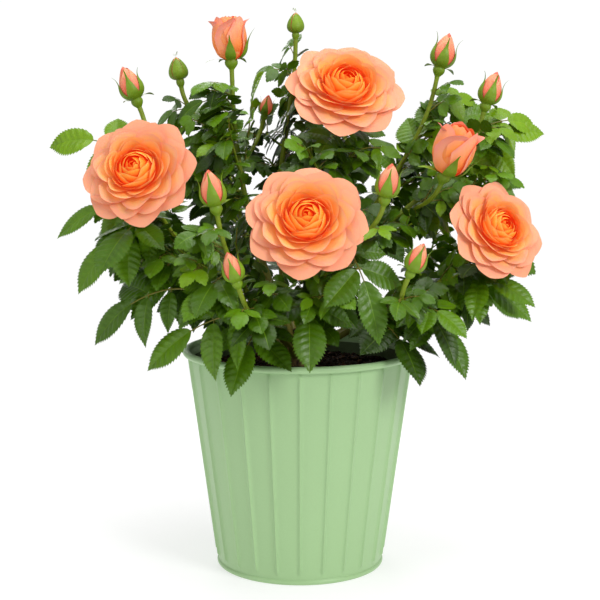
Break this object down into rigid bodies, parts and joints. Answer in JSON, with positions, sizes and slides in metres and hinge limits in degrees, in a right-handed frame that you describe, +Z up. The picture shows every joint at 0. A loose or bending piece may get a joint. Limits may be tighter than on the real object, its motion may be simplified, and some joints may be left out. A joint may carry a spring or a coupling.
{
  "type": "potted rose bush",
  "caption": "Patio rose bush with double peach blooms, buds and toothed leaves, growing in a tapered round metal pot with upright ribs and a rolled rim.",
  "frame": {"origin": "middle of the flat underside of the pot", "axes": "+Z up along the pot's axis, -Y towards the side with most of the open blooms, +X to the right of someone facing that side"},
  "size_m": [0.3303, 0.2719, 0.3778],
  "materials": {
    "pot_paint": "satin paint on sheet steel",
    "potting_soil": "loose dark potting soil",
    "old_wood": "brown cracked bark",
    "green_bark": "smooth green bark with thorns",
    "leaf": "glossy veined leaf",
    "petal": "velvety petal, paler at its edge"
  },
  "bodies": {
    "root": {"bloom_back_right": "petal", "bloom_beside_back": "petal", "bloom_far_left": "petal", "bloom_front": "petal", "bloom_left": "petal", "bloom_low_right": "petal", "bloom_top_front": "petal", "bough_back": "green_bark", "bough_back_left": "green_bark", "bough_back_right": "green_bark", "bough_far_left": "green_bark", "bough_front": "green_bark", "bough_front_left": "green_bark", "bough_left": "green_bark", "bough_low_right": "green_bark", "bough_right": "green_bark", "bough_top": "green_bark", "bough_top_front": "green_bark", "bough_top_right": "green_bark", "bough_upper_left": "green_bark", "bud_beside_front": "petal", "bud_beside_front_left": "petal", "bud_beside_left": "petal", "bud_beside_low_right": "petal", "bud_beside_upper_left": "petal", "bud_front_left": "petal", "bud_right": "petal", "bud_top_right": "petal", "cup_back": "petal", "cup_beside_right": "petal", "cup_upper_left": "petal", "foliage_back": "leaf", "foliage_back_left": "leaf", "foliage_back_right": "leaf", "foliage_far_left": "leaf", "foliage_front": "leaf", "foliage_front_left": "leaf", "foliage_left": "leaf", "foliage_low_right": "leaf", "foliage_right": "leaf", "foliage_top": "leaf", "foliage_top_front": "leaf", "foliage_top_right": "leaf", "foliage_upper_left": "leaf", "green_bud_back_left": "petal", "green_bud_beside_far_left": "petal", "green_bud_beside_upper_left": "petal", "green_bud_top": "petal", "pot": "pot_paint", "rootstock": "old_wood", "soil": "potting_soil"}
  },
  "joints": []
}
